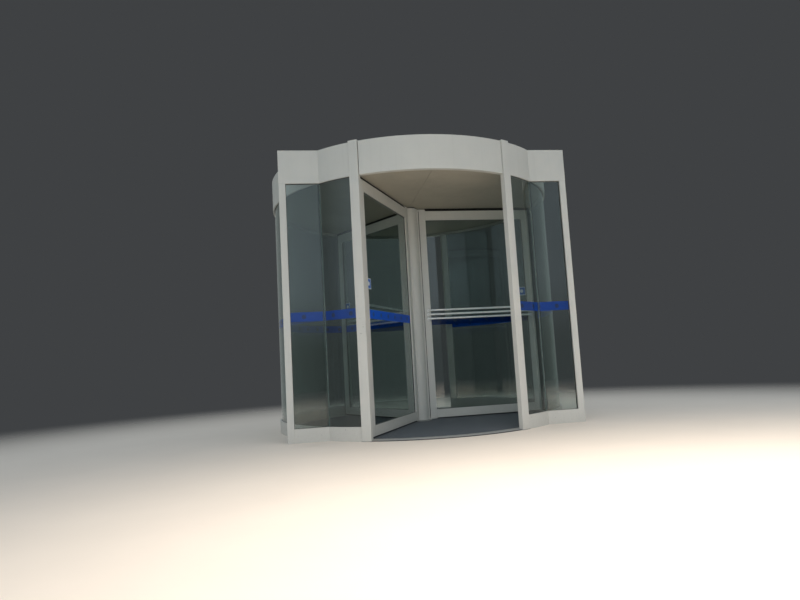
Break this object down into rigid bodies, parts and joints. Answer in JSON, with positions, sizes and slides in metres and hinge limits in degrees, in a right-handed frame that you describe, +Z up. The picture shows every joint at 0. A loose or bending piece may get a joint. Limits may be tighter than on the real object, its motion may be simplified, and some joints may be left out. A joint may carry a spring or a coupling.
{
  "type": "revolving door",
  "caption": "Glazed revolving door: a round drum with canopy and doorway posts, flat sidelights to its facade, and a turning rotor of framed glass wings.",
  "frame": {"origin": "on the finished floor, at the rotor's axis, which is the middle of the drum", "axes": "+Z up along the rotor's axis, -Y towards the street side, +X to the right seen from the street"},
  "size_m": [3.0848, 3.085, 2.73],
  "materials": {
    "frame_coat": "satin silver-grey powder coat",
    "glass_clear": "clear laminated glass, faint green tint",
    "brushed_steel": "satin stainless tube",
    "brush_black": "black nylon brush",
    "mat_charcoal": "ribbed charcoal entrance mat",
    "ceiling_panel": "matt pale panel",
    "floor_metal": "mill-finish aluminium",
    "drive_metal": "grey machine paint"
  },
  "bodies": {
    "drum": {"ceiling": "ceiling_panel", "drive_unit": "drive_metal", "fascia_front": "frame_coat", "fascia_front_left": "frame_coat", "fascia_front_right": "frame_coat", "fascia_rear": "frame_coat", "fascia_side_left": "frame_coat", "fascia_side_right": "frame_coat", "floor_bearing": "floor_metal", "floor_mat": "mat_charcoal", "floor_ring": "floor_metal", "glass_front_left": "glass_clear", "glass_front_right": "glass_clear", "glass_mid_left": "glass_clear", "glass_mid_right": "glass_clear", "glass_rear_left": "glass_clear", "glass_rear_right": "glass_clear", "header_left": "frame_coat", "header_right": "frame_coat", "jamb_left": "frame_coat", "jamb_right": "frame_coat", "kick_front_left": "frame_coat", "kick_front_right": "frame_coat", "kick_side_left": "frame_coat", "kick_side_right": "frame_coat", "post_front_left": "frame_coat", "post_front_right": "frame_coat", "post_rear_left": "frame_coat", "post_rear_right": "frame_coat", "roof_cover": "frame_coat", "side_glass_left": "glass_clear", "side_glass_right": "glass_clear", "side_kick_left": "frame_coat", "side_kick_right": "frame_coat", "thresholds": "floor_metal"},
    "rotor": {"centre_column": "frame_coat", "wing_frame_a": "frame_coat", "wing_frame_b": "frame_coat", "wing_frame_c": "frame_coat", "wing_glass": "glass_clear", "push_bars_a": "brushed_steel", "push_bars_b": "brushed_steel", "push_bars_c": "brushed_steel", "brush_seals": "brush_black"}
  },
  "joints": [
    {"name": "rotor_turn", "type": "hinge", "parent": "drum", "child": "rotor", "pos_m": [0, 0, 0], "axis": [0, 0, 1], "continuous": true}
  ]
}
